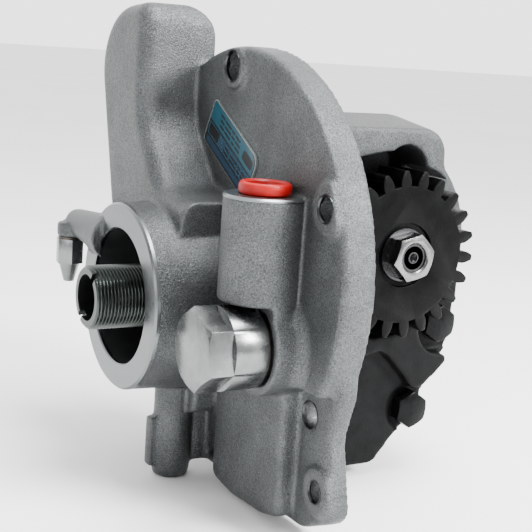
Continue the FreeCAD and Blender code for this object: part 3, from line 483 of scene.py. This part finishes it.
def relief_land():
    """Spot face under the hex cap's washer."""
    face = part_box("relief_cap_washer")[1].x - 0.02 * MM
    profile = [(face + 1.0 * MM, 19.4 * MM), (face, 18.6 * MM), (face, 14.3 * MM),
               (face + 1.0 * MM, 14.3 * MM)]
    mesh = lathe("relief_land", "x", CAP, profile, 96)
    new_piece("relief_land", mesh, HOUSING, HOLE_METAL)


def hole_rims():
    """A drilled wall and a thin chamfer for each hole through the plate."""
    for hole in (m for m in frame["record"]["mounts"] if m["name"].startswith("flange_hole")):
        radius = hole["dims"]["r_mm"] * MM
        start, end = (-hole["dims"]["length_mm"] * MM - 0.05 * MM, -0.05 * MM)
        threaded = hole["kind"] == "threaded_hole"
        wall = []
        steps = 24 if threaded else 1
        for k in range(steps + 1):
            depth = 0.55 * MM if threaded and k % 2 else 0.0
            wall.append((start + 0.7 * MM + (end - start - 0.7 * MM) * k / steps,
                         radius - 0.06 * MM + depth))
        profile = [(start + 0.5 * MM, radius + 0.9 * MM), (start, radius + 0.7 * MM),
                   (start, radius + 0.4 * MM), *wall, (end, radius + 0.9 * MM)]
        mesh = lathe(hole["name"] + "_wall", "x", hole["pos_m"], profile, 64)
        new_piece(hole["name"] + "_wall", mesh, HOUSING, HOLE_METAL)


# ---- nipple, caps and plugs ---------------------------------------------------------

def thread(name, axis, centre, start, end, major, depth, pitch, bore, segments=96):
    """A threaded tube or rod: the outside follows a helix, the ends are chamfered."""
    along, first, second = basis(axis)
    base = Vector(centre)
    base -= along * base.dot(along)
    per_pitch = 10
    rows = int((end - start) / pitch * per_pitch)
    bm = bmesh.new()
    rings = []
    for i in range(rows + 1):
        place = start + (end - start) * i / rows
        edge = min(place - start, end - place)
        limit = major - max(0.0, 1.2 * depth - edge)
        ring = []
        for k in range(segments):
            turn = k / segments
            phase = ((place - start) / pitch - turn) % 1.0
            height = max(0.0, min(1.0, 2.6 * abs(phase - 0.5) - 0.15))
            radius = min(major - depth * (1 - height), limit)
            angle = 2 * math.pi * turn
            ring.append(bm.verts.new(base + along * place + radius
                                     * (first * math.cos(angle) + second * math.sin(angle))))
        rings.append(ring)
    for place in (end, start):
        if bore:
            rings.append([bm.verts.new(base + along * place + bore
                                       * (first * math.cos(t) + second * math.sin(t)))
                          for t in (2 * math.pi * k / segments for k in range(segments))])
    if bore:
        rings.append(rings[0])
    for a, b in zip(rings, rings[1:]):
        for k in range(segments):
            n = (k + 1) % segments
            bm.faces.new((a[k], a[n], b[n], b[k]))
    if not bore:
        bm.faces.new(rings[0])
        bm.faces.new(rings[-1])
    mesh = mesh_of(bm, name)
    shade(mesh, 40)
    return mesh


def box_mesh(low, high, turn=None, pivot=None):
    bm = bmesh.new()
    bmesh.ops.create_cube(bm, size=1)
    size = Vector(high) - Vector(low)
    bmesh.ops.scale(bm, vec=size, verts=bm.verts)
    bmesh.ops.translate(bm, vec=(Vector(high) + Vector(low)) / 2, verts=bm.verts)
    if turn is not None:
        bmesh.ops.rotate(bm, cent=pivot, matrix=turn, verts=bm.verts)
    return mesh_of(bm, "cutter")


def cut_away(mesh, cutter, name):
    tool = bpy.data.objects.new("cutter", cutter)
    bpy.context.scene.collection.objects.link(tool)
    result = applied(mesh, name, ("BOOLEAN", {"object": tool, "operation": "DIFFERENCE",
                                              "solver": "EXACT"}))
    bpy.data.objects.remove(tool)
    shade(result, 40)
    return result


NIPPLE_LENGTH = 47 * MM
NIPPLE_BORE_R = 10.3 * MM
NOTCH_HALF_WIDTH = 1.6 * MM
NOTCH_DEPTH = 2.4 * MM
NOTCH_TURN = 35            # degrees from upright towards the near side


def nipple():
    """The filter's threaded nipple, 16 threads to the inch, with its driver notch."""
    low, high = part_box("filter_stub")
    major = (high.y - low.y) / 2
    pitch = 25.4 * MM / 16
    start, end = low.x, low.x + NIPPLE_LENGTH
    mesh = thread("filter_nipple", "x", FILTER, start, end, major, 0.62 * pitch, pitch,
                  NIPPLE_BORE_R, 128)
    notch = box_mesh((start - MM, FILTER.y - NOTCH_HALF_WIDTH, FILTER.z - major - MM),
                     (start + NOTCH_DEPTH, FILTER.y + NOTCH_HALF_WIDTH, FILTER.z + major + MM),
                     Matrix.Rotation(math.radians(NOTCH_TURN), 3, "X"), FILTER)
    mesh = cut_away(mesh, notch, "filter_nipple")
    new_piece("filter_nipple", mesh, HOUSING, STUB_STEEL, ("filter_stub",))


def softened(node, body, material, width):
    """A CAD node shown again with its sharp edges eased by width."""
    new_piece(node + "_eased", soften(node, width), body, material, (node,))


def red_plug():
    """Moulded shipping plug: a stem in the port and a dished rim above it."""
    low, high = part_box("port_plug")
    rim_r = (high.x - low.x) / 2
    rim_z, top = high.z - 4.8 * MM, high.z
    profile = [(low.z, 7.4 * MM), (low.z, 8.7 * MM), (low.z + 0.5 * MM, 9.0 * MM),
               (rim_z - 0.5 * MM, 9.05 * MM), (rim_z, 9.3 * MM), (rim_z, rim_r - 0.9 * MM),
               (rim_z + 0.35 * MM, rim_r - 0.25 * MM), (rim_z + 1.1 * MM, rim_r),
               (top - 1.5 * MM, rim_r), (top - 0.6 * MM, rim_r - 0.35 * MM),
               (top, rim_r - 1.2 * MM), (top - 0.05 * MM, rim_r - 2.0 * MM),
               (top - 0.8 * MM, rim_r - 2.7 * MM), (top - 3.0 * MM, rim_r - 3.1 * MM),
               (top - 3.2 * MM, 0.0)]
    inner = [(rim_z + 0.8 * MM, 0.0), (rim_z + 0.7 * MM, 7.4 * MM)]
    mesh = lathe("red_port_plug", "z", PORT, profile + inner, 96)
    new_piece("red_port_plug", mesh, "port_closure", RED, ("port_plug",))


# ---- label --------------------------------------------------------------------------

LABEL_TILT = 28.5
LABEL_HALF = (24.0 * MM, 10.75 * MM)


def rounded_outline(u0, u1, v0, v1, radii, steps=5):
    """Corners from lower left, anticlockwise, each with its own radius."""
    centres = [(u0, v0, 1, 1, 180), (u1, v0, -1, 1, 270), (u1, v1, -1, -1, 0), (u0, v1, 1, -1, 90)]
    points = []
    for (u, v, su, sv, begin), r in zip(centres, radii):
        if r <= 0:
            points.append((u, v))
            continue
        for k in range(steps + 1):
            t = math.radians(begin + 90 * k / steps)
            points.append((u + su * r + r * math.cos(t), v + sv * r + r * math.sin(t)))
    return points


def label():
    """Blank data plate: foil edge, black ground, coloured fields and plain boxes."""
    centre = middle("label_plate")
    face = PLATE_FACE_X
    half_u, half_v = LABEL_HALF
    big, small = 5.0 * MM, 1.6 * MM

    def layer(name, u0, u1, v0, v1, radii, rise, material):
        mesh = flat_prism(name, rounded_outline(u0, u1, v0, v1, radii), face, rise, LABEL_TILT,
                          centre)
        return new_piece(name, mesh, HOUSING, material)

    plate = layer("label_foil", -half_u, half_u, -half_v, half_v,
                  (big, small, small, big), 1.0 * MM, FOIL)
    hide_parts("label_plate")
    edge = 0.5 * MM
    low, high = -half_u + edge, half_u - edge
    top = half_v - edge
    ground, field, mark = 1.04 * MM, 1.07 * MM, 1.10 * MM
    layer("label_ground", low, high, -half_v + 0.2 * MM, top,
          (big - edge, small, small, big - edge), ground, INK)
    layer("label_teal_field", low + 0.8 * MM, high - 0.3 * MM, 1.1 * MM, top - 0.3 * MM,
          (0, 0, small, big - edge), field, TEAL)
    layer("label_blue_stripe", low + 0.8 * MM, high - 2.0 * MM, -half_v + 1.2 * MM,
          -half_v + 4.0 * MM, (0.4 * MM,) * 4, field, STEEL_BLUE)
    layer("label_middle_band", low + 0.8 * MM, high - 1.0 * MM, -half_v + 5.0 * MM, 0.2 * MM,
          (0.4 * MM,) * 4, field, FOIL_BLUE)
    layer("label_band_box", high - 12.5 * MM, high - 2.0 * MM, -half_v + 5.6 * MM, -0.4 * MM,
          (0.2 * MM,) * 4, mark, INK)
    layer("label_side_box", low + 2.0 * MM, low + 12.0 * MM, 3.0 * MM, 7.6 * MM,
          (1.2 * MM,) * 4, mark, INK)
    for row in range(3):
        v = 2.6 * MM + row * 2.3 * MM
        u = low + 15 * MM + row * 0.8 * MM
        for k, length in enumerate((5.0, 3.2, 6.4, 4.1)):
            layer(f"label_mark_{row}_{k}", u, u + length * MM, v, v + 1.1 * MM,
                  (0.2 * MM,) * 4, mark, INK)
            u += (length + 1.0) * MM
    for row in range(2):
        v = -half_v + 6.0 * MM + row * 2.2 * MM
        u = low + 2.5 * MM
        for k, length in enumerate((6.0, 3.0, 7.5, 5.0)):
            layer(f"label_band_mark_{row}_{k}", u, u + length * MM, v, v + 1.0 * MM,
                  (0.2 * MM,) * 4, mark, INK)
            u += (length + 1.2) * MM


# ---- drive train --------------------------------------------------------------------

def shaft_end():
    """The shaft's threaded end with its centre drilling."""
    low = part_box("drive_shaft")[0].y
    end = low + 9.0 * MM
    mesh = thread("shaft_thread", "y", GEAR, low, end, 6.35 * MM, 0.9 * MM, 1.27 * MM, 2.0 * MM,
                  64)
    new_piece("shaft_thread", mesh, SHAFT, GROUND)
    profile = [(low + 0.1 * MM, 2.6 * MM), (low + 2.6 * MM, 0.4 * MM), (low + 3.0 * MM, 0.0),
               (low + 4.0 * MM, 0.0), (low + 4.0 * MM, 2.6 * MM)]
    cone = lathe("shaft_centre", "y", GEAR, profile, 48)
    new_piece("shaft_centre", cone, SHAFT, GROUND)


# ---- build everything ---------------------------------------------------------------

manifold()
filter_ring()
port_land()
relief_land()
hole_rims()
nipple()
red_plug()
label()
shaft_end()

softened("relief_cap", HOUSING, ZINC, 0.35 * MM)
softened("drive_gear", SHAFT, GEAR_STEEL, 0.28 * MM)
softened("shaft_nut", SHAFT, NUT_ZINC, 0.25 * MM)
softened("cover_bolts", HOUSING, BOLT_BLACK, 0.3 * MM)
softened("rear_bolts", HOUSING, BOLT_BLACK, 0.3 * MM)
softened("side_union", HOUSING, ZINC, 0.2 * MM)
softened("pump_body", HOUSING, BODY_METAL, 0.3 * MM)

new_piece("support_skin", recast("pump_support", 0.9 * MM, 8), HOUSING,
          CAST_PUMP, ("pump_support",))
new_piece("front_cover_skin", recast("front_cover", 1.0 * MM, 6), HOUSING,
          IRON, ("front_cover",))
new_piece("rear_cover_skin", recast("rear_cover", 1.0 * MM, 6), HOUSING,
          IRON, ("rear_cover",))

CAD_MATERIALS = {
    "gallery_plug": ZINC, "relief_cap_washer": COPPER, "relief_seat": GROUND,
    "relief_poppet": GROUND, "relief_spring": SPRING, "side_union_washer": COPPER,
    "drive_shaft": GROUND, "drive_key": GROUND, "lock_washer": GROUND, "driven_gear": GROUND,
    "drive_bush": BRONZE, "shaft_seal": RUBBER, "seal_circlip": SPRING,
    "front_bearing_block": BODY_METAL, "rear_bearing_block": BODY_METAL,
    "bearing_bushes": BRONZE, "cover_seals": RUBBER, "inlet_port_seal": RUBBER,
    "outlet_port_seal": RUBBER, "flange_seal": RUBBER, "support_screws": BOLT_BLACK,
    "dowel_pins": GROUND,
}
for node, material in CAD_MATERIALS.items():
    for slot in frame["nodes"][node].material_slots:
        slot.material = material


# ---- studio -------------------------------------------------------------------------

def camera():
    """The camera of the picture: a long lens from the front left, a little above."""
    azimuth, elevation, roll = map(math.radians, (-30.2, 10.95, 4.07))
    target = Vector((-5.09, -16.288, -1.7815)) * MM
    distance = 503.4 * MM
    back = Vector((math.sin(azimuth) * math.cos(elevation),
                   -math.cos(azimuth) * math.cos(elevation), math.sin(elevation)))
    level = Vector((math.cos(azimuth), math.sin(azimuth), 0))
    upright = back.cross(level)
    right = math.cos(roll) * level + math.sin(roll) * upright
    up = -math.sin(roll) * level + math.cos(roll) * upright
    data = bpy.data.cameras.new("camera")
    data.sensor_width = 36
    data.lens = 77.82
    data.clip_start, data.clip_end = 0.01, 20
    obj = bpy.data.objects.new("camera", data)
    obj.matrix_world = (Matrix.Translation(target + back * distance)
                        @ Matrix((right, up, back)).transposed().to_4x4())
    bpy.context.scene.collection.objects.link(obj)
    bpy.context.scene.camera = obj


def area_light(name, place, size, power, colour=(1, 1, 1)):
    data = bpy.data.lights.new(name, "AREA")
    data.shape = "DISK"
    data.size = size
    data.energy = power
    data.color = colour
    obj = bpy.data.objects.new(name, data)
    obj.location = place
    obj.rotation_euler = (-Vector(place)).to_track_quat("-Z", "Y").to_euler()
    bpy.context.scene.collection.objects.link(obj)


def studio():
    world = bpy.data.worlds.new("studio")
    world.use_nodes = True
    tree = world.node_tree
    background = tree.nodes["Background"]
    background.inputs["Color"].default_value = (1, 1, 1, 1)
    direction = tree.nodes.new("ShaderNodeTexCoord").outputs["Generated"]
    toward = tree.nodes.new("ShaderNodeVectorMath")
    toward.operation = "DOT_PRODUCT"
    toward.inputs[1].default_value = (0.70, 0.60, 0.25)
    tree.links.new(direction, toward.inputs[0])
    strength = tree.nodes.new("ShaderNodeMapRange")
    for key, value in (("From Min", -0.7), ("From Max", 0.35), ("To Min", 0.30), ("To Max", 2.9)):
        strength.inputs[key].default_value = value
    tree.links.new(toward.outputs["Value"], strength.inputs["Value"])
    tree.links.new(strength.outputs[0], background.inputs["Strength"])
    bpy.context.scene.world = world
    area_light("key", (0.50, -0.85, 0.60), 0.35, 34)
    area_light("top", (0.10, -0.25, 1.00), 0.5, 22)
    area_light("fill", (-0.95, -0.55, 0.35), 0.5, 4)
    bm = bmesh.new()
    bmesh.ops.create_grid(bm, x_segments=8, y_segments=8, size=12.0)
    mesh = mesh_of(bm, "floor")
    floor = bpy.data.objects.new("floor", mesh)
    floor.location.z = cad_box[0][2] - 0.2 * MM
    bpy.context.scene.collection.objects.link(floor)
    s = Surface("pale_floor", 0.0, 0.8)
    tone = s.ramp(s.noise(0.4), (0.4, grey(0.90)), (0.6, grey(0.93)))
    mesh.materials.append(s.finish(tone))


camera()
studio()
